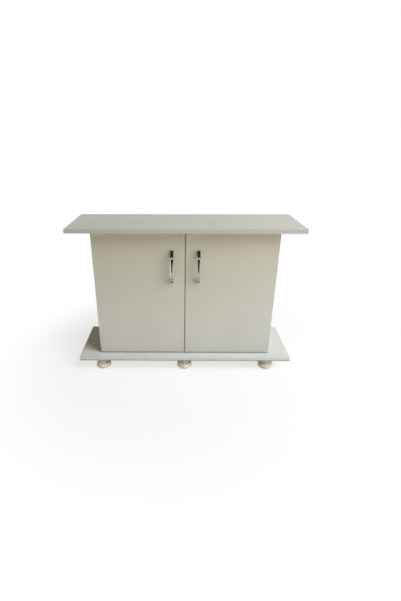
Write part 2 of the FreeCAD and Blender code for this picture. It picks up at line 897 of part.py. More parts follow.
def along_hood(edge, side):
    """True for the two edges where the hood's sides bend out of its web."""
    ends = [vertex.Point for vertex in edge.Vertexes]
    on_web = all(same(end.x, web_outside.value) for end in ends)
    on_side = all(same(abs(end.z), side.value) for end in ends)
    return on_web and on_side and same(ends[0].z, ends[-1].z)


def hinge_plate():
    """Mounting plate: a rib under the arm's hood and two wings with a screw each."""
    body = new_body("hinge_plate_master")
    half = size.plate_rib_width / 2
    rib = sketch(body, "XZ_Plane", -size.door_gap - size.plate_start)
    rectangle(rib, (panel_face, -half), (web_inside, half))
    pad(body, rib, size.plate_length, reverse=True)
    reach = size.plate_screw_spacing / 2
    tip = reach + size.wing_margin
    wing = size.wing_width / 2
    wings = sketch(body, "YZ_Plane", panel_face)
    rectangle(wings, (plate_screw_line - wing, -tip), (plate_screw_line + wing, tip))
    pad(body, wings, size.wing_thickness)
    round_edges(body, lambda edge: same(edge.Length, size.wing_thickness.value), size.wing_round)
    wing_top = panel_face + size.wing_thickness
    holes = [(plate_screw_line, side * reach) for side in (-1, 1)]
    hole = size.plate_screw_radius + size.hole_clearance
    drill(body, "YZ_Plane", wing_top, holes, hole, size.wing_thickness)
    threads = [(clamp_line, 0), (adjuster_line, 0)]
    thread = size.arm_screw_radius + size.hole_clearance
    drill(body, "YZ_Plane", web_inside, threads, thread, size.plate_rib_height)
    return body


def hinges():
    """Four hinges from one set of masters, and the screws that hold them."""
    masters = {"plate": hinge_plate(), "arm": hinge_arm(), "cup": hinge_cup()}
    pin = hinge_pin()
    for side, hand in HANDS.items():
        for level, row in hinge_rows.items():
            for kind, master in masters.items():
                copies(f"{side}_{level}_hinge_{kind}", master, [hinge_seat(hand, row)])
        seats = [hinge_seat(hand, row) for row in hinge_rows.values()]
        copies(f"{side}_hinge_pins", pin, seats)


def hinge_screws():
    plate_head = (size.plate_screw_head_radius, size.plate_screw_head_height)
    plate_length = size.wing_thickness + size.plate_screw_bite
    plate_screw = screw("plate_screw_master", size.plate_screw_radius, *plate_head, plate_length)
    arm_head = (size.arm_screw_head_radius, size.arm_screw_head_height)
    arm_length = size.arm_thickness + size.arm_screw_bite
    arm_screw = screw("arm_screw_master", size.arm_screw_radius, *arm_head, arm_length)
    cup_head = (size.cup_screw_head_radius, size.cup_screw_head_height)
    cup_length = size.flange_thickness + size.cup_screw_bite
    cup_screw = screw("cup_screw_master", size.cup_screw_radius, *cup_head, cup_length)
    plate_reach = size.plate_screw_spacing / 2
    plate_seats = []
    arm_seats = []
    for side, hand in HANDS.items():
        wing_column = -hand * (door_edge - panel_face - size.wing_thickness)
        web_column = -hand * (door_edge - web_outside)
        turn = head_inwards(hand)
        for row in hinge_rows.values():
            height = door_foot + row
            for rise in (-plate_reach, plate_reach):
                plate_seats.append(((wing_column, door_back + plate_screw_line, height + rise), turn))
            for line in (clamp_line, adjuster_line):
                arm_seats.append(((web_column, door_back + line, height), turn))
        cup_column = -hand * (door_edge - cup_screw_line)
        level = door_back + size.flange_thickness
        heights = [door_foot + height for height in cup_screw_heights()]
        cup_seats = [((cup_column, level, height), HEAD_BACK) for height in heights]
        copies(f"{side}_cup_screws", cup_screw, cup_seats)
    copies("hinge_plate_screws", plate_screw, plate_seats)
    copies("hinge_arm_screws", arm_screw, arm_seats)


def doors():
    head = (size.handle_screw_head_radius, size.handle_screw_head_height)
    length = size.door_thickness + size.handle_screw_bite
    handle_screw = screw("handle_screw_master", size.handle_screw_radius, *head, length)
    for side, hand in HANDS.items():
        door(side, hand)
        handle(side, hand)
        handle_screws(side, hand, handle_screw)


def carcass():
    top_board()
    base_board()
    upright("left_side_panel", uprights["left_side"], HANDS["left"])
    upright("centre_partition", uprights["centre"])
    upright("right_side_panel", uprights["right_side"], HANDS["right"])
    back_panel()
    for label, (column, row) in foot_places().items():
        foot(label, column, row)
    connecting_screws()
    caps()
    foot_screws()
    nails()


def check():
    """Stop if any object failed or any piece is empty or broken."""
    doc.recompute()
    for thing in doc.Objects:
        if "Invalid" in thing.State or "Error" in thing.State:
            raise RuntimeError(f"{thing.Label}: {thing.State}")
    for piece in nodes:
        shape = piece.Shape
        if shape.isNull() or not shape.isValid() or not shape.Solids:
            raise RuntimeError(f"{piece.Label}: no valid solid")


def write():
    os.makedirs("parts", exist_ok=True)
    for piece in nodes:
        piece.Shape.exportStep(f"parts/{piece.Label}.step")
        solids = len(piece.Shape.Solids)
        print(f"{piece.Label}: {solids} solid(s), {piece.Shape.Volume:.1f} mm3")
    print(f"{len(nodes)} nodes")


carcass()
hinges()
hinge_screws()
doors()
check()
write()
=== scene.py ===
# %% [markdown]
# # A two-door aquarium stand
#
# The real stand is a small cabinet of white melamine board between two long boards of one size.
# It stands on turned cream feet, and two bow handles in polished chrome open its doors.
# The shapes that fit and move come from the packed model, so this lesson starts by loading it.
# What is left to do here is the look: finishes, fasteners, light and a camera.

# %% Load the packed stand
import json
import math

import bmesh
import bpy
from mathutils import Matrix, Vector


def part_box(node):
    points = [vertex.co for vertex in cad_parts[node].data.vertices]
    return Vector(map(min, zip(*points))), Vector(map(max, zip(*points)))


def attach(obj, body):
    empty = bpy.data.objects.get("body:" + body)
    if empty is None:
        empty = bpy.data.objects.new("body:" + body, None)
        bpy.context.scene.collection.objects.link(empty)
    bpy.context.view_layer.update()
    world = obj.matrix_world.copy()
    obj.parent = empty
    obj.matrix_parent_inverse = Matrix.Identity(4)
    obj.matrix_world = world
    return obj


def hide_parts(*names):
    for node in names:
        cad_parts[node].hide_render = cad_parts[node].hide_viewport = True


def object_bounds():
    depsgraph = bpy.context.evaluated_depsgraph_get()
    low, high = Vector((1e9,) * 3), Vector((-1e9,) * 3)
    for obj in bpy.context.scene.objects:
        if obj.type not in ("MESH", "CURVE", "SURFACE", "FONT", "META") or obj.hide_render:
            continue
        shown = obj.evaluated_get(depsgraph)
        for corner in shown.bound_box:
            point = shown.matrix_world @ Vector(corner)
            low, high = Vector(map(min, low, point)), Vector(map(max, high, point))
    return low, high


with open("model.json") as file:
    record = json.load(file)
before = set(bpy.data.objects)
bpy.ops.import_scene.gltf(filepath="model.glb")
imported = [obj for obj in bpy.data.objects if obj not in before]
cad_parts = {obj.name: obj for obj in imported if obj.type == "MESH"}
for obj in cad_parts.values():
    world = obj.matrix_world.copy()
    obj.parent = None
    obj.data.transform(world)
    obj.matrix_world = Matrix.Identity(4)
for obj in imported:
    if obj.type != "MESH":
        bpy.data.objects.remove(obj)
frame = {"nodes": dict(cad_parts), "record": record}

nodes = frame["nodes"]
cad_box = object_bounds()
stand_middle = (cad_box[0] + cad_box[1]) / 2
scene = bpy.context.scene
scene.view_settings.view_transform = "Standard"
print(f"{len(nodes)} pieces, from {tuple(cad_box[0])} to {tuple(cad_box[1])}")

# %% [markdown]
# ## Camera
#
# The picture was taken by hand from a little above the stand, with a wide lens.
# A camera can be set by eye, but here its place and focal length were worked out from the corners
# of the boards, whose real sizes are known.
# The picture had been cropped, so its optical axis is off the middle, which a lens shift gives.

# %% Camera
PHOTO_WIDTH = 401
PHOTO_HEIGHT = 601
FOCAL_PIXELS = 364.0
AXIS_PIXEL = (177.4, 292.7)
CAMERA_PLACE = (-0.0239, -1.6087, 1.0519)
CAMERA_DIP = math.radians(23.763)
CAMERA_TURN = math.radians(0.394)


def new_object(name, data):
    """Object with the data, in the scene."""
    made = bpy.data.objects.new(name, data)
    scene.collection.objects.link(made)
    return made


def photo_camera():
    """The picture's camera. Its sensor spans the longer side of the frame, which is the height."""
    data = bpy.data.cameras.new("photo_camera")
    data.lens = data.sensor_width * FOCAL_PIXELS / PHOTO_HEIGHT
    data.shift_x = (PHOTO_WIDTH / 2 - AXIS_PIXEL[0]) / PHOTO_HEIGHT
    data.shift_y = (AXIS_PIXEL[1] - PHOTO_HEIGHT / 2) / PHOTO_HEIGHT
    camera = new_object("photo_camera", data)
    camera.location = CAMERA_PLACE
    camera.rotation_euler = (math.pi / 2 - CAMERA_DIP, 0, CAMERA_TURN)
    scene.camera = camera
    return data


lens = photo_camera()
print(f"lens {lens.lens:.2f} mm, shift {lens.shift_x:.4f}, {lens.shift_y:.4f}")

# %% [markdown]
# ## Node maths
#
# A finish is a graph of nodes, and most of it is arithmetic: masks, mixtures, distances to an edge.
# Wiring each Math node by hand hides the sum. A small class that wraps an output socket lets the
# sum be written as Python, and one method adds every other kind of node.

# %% Wires and graphs
class Wire:
    """An output socket that takes part in arithmetic: each operator adds one Math node."""

    def __init__(self, graph, node, output):
        self.graph = graph
        self.node = node
        self.socket = node.outputs[output]

    def __getitem__(self, output):
        """Another output of the same node, by its name."""
        return Wire(self.graph, self.node, output)

    def __add__(self, other):
        return self.graph.math("ADD", self, other)

    __radd__ = __add__

    def __sub__(self, other):
        return self.graph.math("SUBTRACT", self, other)

    def __rsub__(self, other):
        return self.graph.math("SUBTRACT", other, self)

    def __mul__(self, other):
        return self.graph.math("MULTIPLY", self, other)

    __rmul__ = __mul__

    def __abs__(self):
        return self.graph.math("ABSOLUTE", self)


class Graph:
    """A node tree, emptied, with the one method that adds a node to it."""

    def __init__(self, tree):
        self.tree = tree
        tree.nodes.clear()

    def add(self, kind, inputs=None, **settings):
        """Node of a kind: its settings first, then the value or the wire of each socket."""
        node = self.tree.nodes.new(kind)
        for name, value in settings.items():
            setattr(node, name, value)
        for key, value in (inputs or {}).items():
            socket = self.socket(node, key)
            if isinstance(value, Wire):
                self.tree.links.new(value.socket, socket)
            else:
                socket.default_value = value
        shown = [number for number, socket in enumerate(node.outputs) if socket.enabled]
        return Wire(self, node, shown[0]) if shown else node

    @staticmethod
    def socket(node, key):
        """Input by its number, or the first one of that name that the settings leave in use."""
        if isinstance(key, int):
            return node.inputs[key]
        return next(socket for socket in node.inputs if socket.enabled and socket.name == key)

    def math(self, operation, *values):
        """One Math node on numbers and wires."""
        return self.add("ShaderNodeMath", dict(enumerate(values)), operation=operation)

    def blend(self, share, first, second):
        """Shader between two shaders."""
        return self.add("ShaderNodeMixShader", {0: share, 1: first, 2: second})


print("node maths:", [kind.__name__ for kind in (Wire, Graph)])

# %% [markdown]
# Some sums come back often enough to have a name: the smaller or larger of two values, and a tone
# that adds several noises about a middle. Colours are written as a picture editor gives them, from 0
# to 255, and turned into the linear light that Blender works in.

# %% Sums and shades
def smaller(first, second):
    return first.graph.math("MINIMUM", first, second)


def larger(first, second):
    return first.graph.math("MAXIMUM", first, second)


def tone(*patterns):
    """Noises added about a middle of one half, each given with its weight."""
    return sum((weight * (noise - 0.5) for noise, weight in patterns), 0.5)


def shade(*levels):
    return (*(((level / 255 + 0.055) / 1.055) ** 2.4 for level in levels), 1.0)


def scaled(levels, share):
    """Shade with all its levels made darker or paler by a share."""
    return shade(*(level * share for level in levels))


print("mid grey in linear light:", round(shade(128, 128, 128)[0], 3))

# %% [markdown]
# A finish needs the same few steps again and again: a colour between two colours, a soft step, a
# noise at a chosen size. These become methods of a graph for materials, which also knows how a
# finish starts, with the place on the piece, and how it ends, in one surface shader.

# %% Steps of a finish
class Finish(Graph):
    """The node graph of one material, read from places on the piece."""

    def __init__(self, name):
        self.material = bpy.data.materials.new(name)
        self.material.use_nodes = True
        super().__init__(self.material.node_tree)

    def place(self, centre=(0, 0, 0)):
        """Place on the piece in metres, counted from a centre."""
        place = self.add("ShaderNodeTexCoord")["Object"]
        return self.add("ShaderNodeMapping", {"Vector": place, "Location": [-x for x in centre]})

    def axes(self, place):
        split = self.add("ShaderNodeSeparateXYZ", {"Vector": place})
        return split["X"], split["Y"], split["Z"]

    def mix(self, share, first, second):
        """Colour between two colours."""
        return self.add("ShaderNodeMix", {"Factor": share, "A": first, "B": second}, data_type="RGBA")

    def step(self, value, start, end):
        """Rises smoothly from 0 at start to 1 at end."""
        inputs = {"Value": value, "From Min": start, "From Max": end}
        return self.add("ShaderNodeMapRange", inputs, interpolation_type="SMOOTHSTEP")

    def fade(self, value, start, end):
        """Falls smoothly from 1 at start to 0 at end."""
        return 1 - self.step(value, start, end)

    def noise(self, place, scale, detail=2.0, distortion=0.0):
        """Cloudy noise from 0 to 1, with about so many spots to the metre."""
        inputs = {"Vector": place, "Scale": scale, "Detail": detail, "Distortion": distortion}
        return self.add("ShaderNodeTexNoise", inputs)

    def streaks(self, place, axis, along, across, detail=2.0):
        """Noise drawn out along one axis, by its spots to the metre along it and across it."""
        scales = [across] * 3
        scales[axis] = along
        drawn = self.add("ShaderNodeMapping", {"Vector": place, "Scale": scales})
        return self.noise(drawn, scale=1.0, detail=detail)

    def ragged(self, distance, place, reach, scale, detail=2.0):
        """A distance that wavers by a reach, so that a step on it has a torn edge."""
        return distance + reach * (self.noise(place, scale, detail) - 0.5)

    def bump(self, height, depth):
        """Surface tilt for a height from 0 to 1 that stands for a depth in metres."""
        return self.add("ShaderNodeBump", {"Height": height, "Distance": depth})

    def glow(self, colour):
        """Shader that shows a colour as it is, whatever the light."""
        return self.add("ShaderNodeEmission", {"Color": colour, "Strength": 1.0})

    def done(self, shader):
        """Ends the graph with a shader."""
        self.add("ShaderNodeOutputMaterial", {"Surface": shader})
        return self.material

    def surface(self, **sockets):
        """Ends the graph with a surface. A socket's name is written with _ for its spaces."""
        inputs = {name.replace("_", " "): value for name, value in sockets.items()}
        return self.done(self.add("ShaderNodeBsdfPrincipled", inputs))


print("steps of a finish:", [name for name in vars(Finish) if not name.startswith("_")])

# %% [markdown]
# ## Studio
#
# A white sweep and soft lamps show pale furniture without hard shadows.
# The background has to be white without more light on the stand, so the floor and the world answer
# camera and mirror rays with plain white, and the floor keeps part of the real shadow near the stand.

# %% Floor
FLOOR_REACH = 30.0
FLOOR_SHADE = shade(240, 240, 238)
SHADOW_NEAR = 0.45
SHADOW_FAR = 1.0
SHADOW_SHARE = 0.30
WHITE = (1.0, 1.0, 1.0, 1.0)


def seen_directly(graph):
    """1 for camera, mirror and glass rays, 0 for the rays that carry light."""
    path = graph.add("ShaderNodeLightPath")
    return larger(larger(path["Is Camera Ray"], path["Is Glossy Ray"]), path["Is Transmission Ray"])


def flat_sheet(name, corners, material):
    """One face of the studio, which isn't part of the stand."""
    mesh = bpy.data.meshes.new(name)
    mesh.from_pydata(corners, [], [(0, 1, 2, 3)])
    mesh.materials.append(material)
    sheet = new_object(name, mesh)
    return sheet


def floor():
    """Plain pale floor, pure white once it is away from the stand's shadow."""
    graph = Finish("studio_floor")
    distance = graph.add("ShaderNodeVectorMath", {"Vector": graph.place()}, operation="LENGTH")
    away = graph.step(distance, SHADOW_NEAR, SHADOW_FAR)
    lit = graph.add("ShaderNodeBsdfDiffuse", {"Color": FLOOR_SHADE})
    share = seen_directly(graph) * (1 - SHADOW_SHARE + SHADOW_SHARE * away)
    material = graph.done(graph.blend(share, lit, graph.glow(WHITE)))
    signs = ((-1, -1), (1, -1), (1, 1), (-1, 1))
    return flat_sheet("floor", [(x * FLOOR_REACH, y * FLOOR_REACH, 0) for x, y in signs], material)


sweep = floor()
print("floor:", sweep.name, "with", sweep.active_material.name)

# %% [markdown]
# The world is split in the same way: it looks white, and the light that it gives is weak and a little
# warm. That faint light from all round keeps the deepest corners from going black.

# %% World
AMBIENT_STRENGTH = 0.06
AMBIENT_SHADE = shade(255, 226, 172)


def surroundings():
    """White to look at, and a faint warm light from all round."""
    world = bpy.data.worlds.new("surroundings")
    world.use_nodes = True
    graph = Graph(world.node_tree)
    faint = {"Color": AMBIENT_SHADE, "Strength": AMBIENT_STRENGTH}
    light = graph.add("ShaderNodeBackground", faint)
    white = graph.add("ShaderNodeBackground", {"Color": WHITE, "Strength": 1.0})
    graph.add("ShaderNodeOutputWorld", {"Surface": graph.blend(seen_directly(graph), light, white)})
    return world


scene.world = surroundings()
print("world:", scene.world.name)

# %% [markdown]
# The main light on the stand comes from high at its front right: the handles throw their shadow to
# the left, and the base is dark to the left of the cabinet. A wide, far lamp gives that. A second,
# low one at the right lifts the doors and the feet, and a strip near the floor stands for the light
# that a pale floor throws back. Weak lamps at the left and behind keep those sides readable.
# Chrome would show every lamp as a hard white patch, so the lamps are hidden from mirror rays.

# %% Lamps
DAYLIGHT = (246, 250, 255)
FLOOR_LIGHT = (255, 252, 246)
ROOM_LIGHT = (255, 244, 216)
LAMPS = {
    "main": {"light": DAYLIGHT, "turn": 55, "rise": 50, "away": 5.0, "size": (2.4, 3.6), "watts": 214},
    "side": {"light": DAYLIGHT, "turn": 70, "rise": 20, "away": 2.6, "size": (1.5, 1.5), "watts": 37},
    "floor_strip": {
        "light": FLOOR_LIGHT, "turn": -12, "rise": -16, "away": 1.1, "size": (1.6, 0.06), "watts": 2.0,
    },
    "left": {"light": ROOM_LIGHT, "turn": -118, "rise": -1, "away": 3.0, "size": (1.6, 0.2), "watts": 34},
    "back": {"light": ROOM_LIGHT, "turn": 150, "rise": 14, "away": 4.0, "size": (2.0, 1.2), "watts": 28},
}


def soft_lamp(name, light, turn, rise, away, size, watts):
    """Area lamp that looks at the middle of the stand from a turn to the right and a rise."""
    data = bpy.data.lights.new(name, "AREA")
    data.shape = "RECTANGLE"
    data.size, data.size_y = size
    data.energy = watts
    data.color = shade(*light)[:3]
    lamp = new_object(name, data)
    across = math.radians(turn)
    up = math.radians(rise)
    towards = Vector((math.sin(across) * math.cos(up), -math.cos(across) * math.cos(up), math.sin(up)))
    lamp.location = stand_middle + away * towards
    lamp.rotation_euler = (-towards).to_track_quat("-Z", "Y").to_euler()
    lamp.visible_camera = False
    lamp.visible_glossy = False
    return lamp


for name, values in LAMPS.items():
    lamp = soft_lamp(name, **values)
    print(name, [round(x, 2) for x in lamp.location])

# %% [markdown]
# Polished metal in a white room looks white all over and loses its shape. A photographer puts cards
# where only the mirror sees them, and their reflections draw the form. Here the cards glow in fixed
# shades that no lamp gives them, so what the metal shows of them is painted reflection. A dark card
# stands in front of the doors and grows paler towards its foot, which is painted light, a pale one
# rises above it like a wall, a brown one hangs over both, and a pale one lies on the floor. A brown
# card behind the stand keeps the glossy base from mirroring white beside the cabinet. All five are
# hidden from every ray but mirror rays.

# %% Mirror cards
CARD_HALF_WIDTH = 1.6
FOOT_SHARE = 0.35
DARK = (18, 13, 6)
BROWN = (62, 52, 34)
DIM = (106, 98, 78)
PALE = (208, 203, 190)
CARDS = {
    "standing_card": {"first": (-1.09, 0.01), "last": (-1.28, 0.46), "levels": DARK, "foot": DIM},
    "wall_card": {"first": (-1.28, 0.46), "last": (-0.95, 1.50), "levels": PALE},
    "hanging_card": {"first": (-0.95, 1.50), "last": (-0.35, 1.60), "levels": BROWN},
    "floor_card": {"first": (-1.09, 0.005), "last": (-0.20, 0.01), "levels": PALE},
    "back_card": {"first": (0.55, 0.01), "last": (0.50, 0.62), "levels": BROWN},
}


def mirror_card(name, first, last, levels, foot=None):
    """Card between two lines along X, each given by its Y and Z. Its foot may be of another shade."""
    graph = Finish(name)
    # Each card glows in a fixed shade: the metal mirrors painted reflection, and a paler foot is painted
    # light.
    glow = graph.glow(shade(*levels))
    if foot:
        foot_top = first[1] + FOOT_SHARE * (last[1] - first[1])
        rise = graph.step(graph.axes(graph.place())[2], first[1], foot_top)
        glow = graph.blend(rise, graph.glow(shade(*foot)), glow)
    ends = ((-1, first), (1, first), (1, last), (-1, last))
    corners = [(side * CARD_HALF_WIDTH, y, z) for side, (y, z) in ends]
    card = flat_sheet(name, corners, graph.done(glow))
    card.visible_camera = False
    card.visible_diffuse = False
    card.visible_shadow = False
    card.visible_transmission = False
    return card


cards = [mirror_card(name, **values) for name, values in CARDS.items()]
print("cards:", [card.name for card in cards])

# %% [markdown]
# ## White board
#
# The boards are chipboard faced with white melamine: a hard paper film with a faint printed grain,
# which lies flat on every board, on the doors too. It isn't one even white. It has soft clouds, and
# the upright boards turn warmer towards their top, which is painted shade under the top board.
# An image of the grain could be laid on, but noise that is drawn out along one axis needs no image
# and never repeats.

# %% Clouds and grain
CLOUD_SHARES = (0.965, 1.03)
GRAIN_ALONG = 7.0
GRAIN_ACROSS = 150.0
FINE_ACROSS = 900.0


def box_axes(node):
    """Centre, half sizes, and the numbers of the axes from the longest to the shortest."""
    low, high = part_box(node)
    half = (high - low) / 2
    return low + half, half, sorted(range(3), key=lambda axis: -half[axis])


def clouded_white(graph, place, half, low, high):
    """Colour from a white at the bottom to a white at the top, and the finest fibre of its grain."""
    flat = max((0, 1), key=lambda axis: half[axis])
    grain = graph.streaks(place, flat, GRAIN_ALONG, GRAIN_ACROSS, detail=3.0)
    fibre = graph.streaks(place, flat, 2 * GRAIN_ALONG, FINE_ACROSS)
    cloud = graph.noise(place, scale=5.0, detail=3.0)
    # Where the top white is warmer than the bottom one, this rise paints warm shade under the top board.
    rise = graph.step(graph.axes(place)[2], -half.z, half.z)
    deep, pale = (graph.mix(rise, scaled(low, share), scaled(high, share)) for share in CLOUD_SHARES)
    return graph.mix(tone((cloud, 0.9), (grain, 0.55), (fibre, 0.25)), deep, pale), fibre


print("size of a door:", [round(2 * x, 4) for x in box_axes("left_door")[1]])

# %% [markdown]
# Dirt tells where a board ends. Grime gathers beside the edges, along the thin glue line of the
# banding, and a line of painted shade lies on the base where the doors stand over it, in the gap
# under them. Each is a distance, to an edge or to the doors' front, that a noise makes ragged before
# it fades the mark out.

# %% Grime, glue and shade under the doors
GRIME = (140, 128, 100)
GRIME_REACH = 0.008
GRIME_SHARE = 0.06
GLUE = (120, 106, 82)
GLUE_LINE = 0.0003
GLUE_SHARE = 0.5
DOOR_GAP_SHADE = (104, 100, 88)
GAP_SHADE_START = 0.001
GAP_SHADE_REACH = 0.006
GAP_SHADE_SHARE = 0.4
GAP_SHADE_END = 0.004
DOORS_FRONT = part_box("left_door")[0].y
DOORS_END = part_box("right_door")[1].x


def edge_grime(graph, place, half, order, colour):
    """The colour with grime and a glue line along a board's edges, and the strength of the grime."""
    axes = graph.axes(place)
    long, wide, _ = order
    inside = smaller(half[long] - abs(axes[long]), half[wide] - abs(axes[wide]))
    torn = graph.ragged(inside, place, reach=0.012, scale=38.0, detail=4.0)
    grime = GRIME_SHARE * graph.fade(torn, 0.0, GRIME_REACH)
    glue = GLUE_SHARE * graph.fade(inside, 0.0, GLUE_LINE)
    return graph.mix(glue, graph.mix(grime, colour, shade(*GRIME)), shade(*GLUE)), grime


def shade_under_doors(graph, place, centre, colour):
    """The colour with a line of painted shade where the doors stand over a board."""
    across, along, _ = graph.axes(place)
    from_front = abs(along + (centre.y - DOORS_FRONT))
    away = graph.ragged(from_front, place, reach=0.004, scale=70.0, detail=4.0)
    beside = abs(across + centre.x) - DOORS_END
    gap_shade = graph.fade(away, GAP_SHADE_START, GAP_SHADE_REACH) * graph.fade(beside, -GAP_SHADE_END, GAP_SHADE_END)
    return graph.mix(GAP_SHADE_SHARE * gap_shade, colour, shade(*DOOR_GAP_SHADE))


print(f"doors' front at Y {DOORS_FRONT:.4f}, their ends at X {DOORS_END:.4f} from the middle")

# %% [markdown]
# The film was pressed against a plate that leaves tiny pores, and hands leave duller patches. Pores
# are too small to see one by one, so they are only a bump that softens the shine, with the fibre of
# the grain in it. One function makes the whole finish for a board.

# %% Finish the boards
PORES = 2600.0
PORE_DEPTH = 0.00003
# One melamine: the top's white is a shaded copy, painted greyer, and the base's a lit copy, painted
# paler.
SHADED_TOP_WHITE = (193, 193, 182)
LIT_BASE_WHITE = (207, 208, 205)
LOW_WHITE = (196, 194, 185)
WARM_SHADE_WHITE = (197, 191, 171)
BOARDS = {
    "top_board": (SHADED_TOP_WHITE, SHADED_TOP_WHITE),
    "base_board": (LIT_BASE_WHITE, LIT_BASE_WHITE),
    "left_side_panel": (LOW_WHITE, WARM_SHADE_WHITE),
    "centre_partition": (LOW_WHITE, WARM_SHADE_WHITE),
    "right_side_panel": (LOW_WHITE, WARM_SHADE_WHITE),
    "left_door": (LOW_WHITE, WARM_SHADE_WHITE),
    "right_door": (LOW_WHITE, WARM_SHADE_WHITE),
}


def board_finish(node, low, high):
    """Melamine face of one board, from its white at the bottom to its white at the top."""
    graph = Finish(f"{node}_melamine")
    centre, half, order = box_axes(node)
    place = graph.place(centre)
    colour, fibre = clouded_white(graph, place, half, low, high)
    colour, grime = edge_grime(graph, place, half, order, colour)
    # Painted shade in the gap under the doors.
    if node == "base_board":
        colour = shade_under_doors(graph, place, centre, colour)
    handled = graph.step(graph.noise(place, scale=11.0, detail=5.0), 0.42, 0.68)
    relief = 0.6 * graph.noise(place, PORES, detail=1.0) + 0.4 * fibre
    return graph.surface(
        Base_Color=colour,
        Roughness=0.40 + 0.10 * handled + 0.25 * grime,
        Normal=graph.bump(relief, PORE_DEPTH),
        Specular_IOR_Level=0.3,
    )


def set_finish(node, material):
    nodes[node].material_slots[0].material = material


for node, whites in BOARDS.items():
    set_finish(node, board_finish(node, *whites))
print("faced boards:", list(BOARDS))

# %% [markdown]
# ## Edge banding
#
# The edges are covered by a strip of plastic, a little warmer than the face. It is knocked and rubbed
# more than the face is, so its grime is in short scuffs, and it has fine draw lines along its length
# from the way that it is made. The top's strip is painted darker and warmer than the base's, as
# shade, and the base's strip has painted shade along its lower rim, above the shadowed floor.

# %% Edge banding
# Lit and shaded copies: the top's strip is painted darker and warmer, as shade, than the base's.
LIT_AND_SHADED_EDGE_WHITES = {"top_board": (188, 186, 171), "base_board": (201, 202, 197)}
SCUFF = (150, 140, 116)
SCUFF_SHARE = 0.25
RIM_SHADE = (104, 98, 80)
RIM_SHADE_FULL = 0.002
RIM_SHADE_REACH = 0.0065
RIM_SHARE = 0.75
DRAW_LINE_DEPTH = 0.00002


def banding_finish(node, white):
    graph = Finish(f"{node}_plastic")
    centre, half, (long, *_) = box_axes(node)
    place = graph.place(centre)
    lines = graph.streaks(place, long, along=12.0, across=700.0)
    cloud = graph.noise(place, scale=7.0, detail=3.0)
    colour = graph.mix(tone((cloud, 0.9), (lines, 0.5)), scaled(white, 0.955), scaled(white, 1.02))
    scuffs = SCUFF_SHARE * graph.step(graph.noise(place, scale=46.0, detail=5.0), 0.60, 0.74)
    colour = graph.mix(scuffs, colour, shade(*SCUFF))
    roughness = 0.36 + 0.5 * scuffs
    if node == "base_board_edging":
        # Painted shade: a dark line along the lowest millimetres of the base's strip.
        above = graph.ragged(graph.axes(place)[2] + half.z, place, reach=0.002, scale=60.0)
        rim = RIM_SHARE * graph.fade(above, RIM_SHADE_FULL, RIM_SHADE_REACH)
        colour = graph.mix(rim, colour, shade(*RIM_SHADE))
        roughness = roughness + 0.3 * rim
    bump = graph.bump(lines, DRAW_LINE_DEPTH)
    return graph.surface(Base_Color=colour, Roughness=roughness, Normal=bump)


# Uprights and doors band their edges in the warm white of their painted shade.
for node, (_, high) in BOARDS.items():
    edging = f"{node}_edging"
    set_finish(edging, banding_finish(edging, LIT_AND_SHADED_EDGE_WHITES.get(node, high)))
print("banded boards:", len(BOARDS))

# %% [markdown]
# ## Back panel
#
# The back is thin hardboard, painted white on the inside only. The outside keeps the brown of
# pressed wood fibre, with its flecks. Both faces belong to one piece, so one finish holds both and
# changes over in the middle of the panel's thickness.

# %% Back panel
HARDBOARD_DEEP = (112, 82, 54)
HARDBOARD_PALE = (164, 128, 88)
FLECK_DEPTH = 0.0002


def back_finish(node):
    graph = Finish(f"{node}_hardboard")
    centre, half, (*_, thin) = box_axes(node)
    place = graph.place(centre)
    flecks = graph.noise(place, scale=420.0, detail=6.0)
    cloud = graph.noise(place, scale=6.0, detail=4.0)
    fibres = tone((flecks, 1.6), (cloud, 0.8))
    brown = graph.mix(fibres, shade(*HARDBOARD_DEEP), shade(*HARDBOARD_PALE))
    paint = graph.mix(cloud, scaled(LOW_WHITE, 0.95), shade(*LOW_WHITE))
    outside = graph.step(graph.axes(place)[thin], -half[thin] / 2, half[thin] / 2)
    return graph.surface(
        Base_Color=graph.mix(outside, paint, brown),
        Roughness=0.52 + 0.22 * outside,
        Normal=graph.bump(flecks * outside, FLECK_DEPTH),
    )


set_finish("back_panel", back_finish("back_panel"))
print("back panel:", nodes["back_panel"].material_slots[0].material.name)

# %% [markdown]
# ## Feet
#
# The six feet are turned and finished in a glossy cream. Turning leaves rings that follow the
# height, and the cream has soft veins. The hollow under the collar is painted darker, as shade, and
# the lowest few millimetres are rubbed and dirty. Rings depend on the height alone, so one finish
# serves all six.

# %% Feet
CREAM = (210, 204, 184)
TURNING_LINES = 1500.0
TURNING_DEPTH = 0.00002
HOLLOW_SHADE = (150, 134, 100)
HOLLOW_RISE = 0.72
HOLLOW_FADE = (0.002, 0.009)
SOLE_DIRT = (118, 104, 78)
SOLE_WEAR = 0.006


def foot_finish():
    graph = Finish("turned_cream")
    place = graph.place()
    height = graph.axes(place)[2]
    veins = graph.step(graph.noise(place, scale=42.0, detail=4.0, distortion=1.4), 0.3, 0.7)
    colour = graph.mix(veins, scaled(CREAM, 0.93), scaled(CREAM, 1.05))
    low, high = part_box("foot_front_left")
    # Painted shade in the hollow under the collar.
    hollow = graph.fade(abs(height - (high.z - low.z) * HOLLOW_RISE), *HOLLOW_FADE)
    colour = graph.mix(0.2 * hollow, colour, shade(*HOLLOW_SHADE))
    worn = graph.fade(graph.ragged(height, place, reach=0.006, scale=160.0), 0.0, SOLE_WEAR)
    colour = graph.mix(0.5 * worn, colour, shade(*SOLE_DIRT))
    rings = graph.math("SINE", height * (TURNING_LINES * math.tau))
    return graph.surface(
        Base_Color=colour,
        Roughness=0.24 + 0.35 * worn + 0.12 * graph.noise(place, scale=90.0),
        Normal=graph.bump(0.5 + 0.5 * rings, TURNING_DEPTH),
        Specular_IOR_Level=0.3,
    )


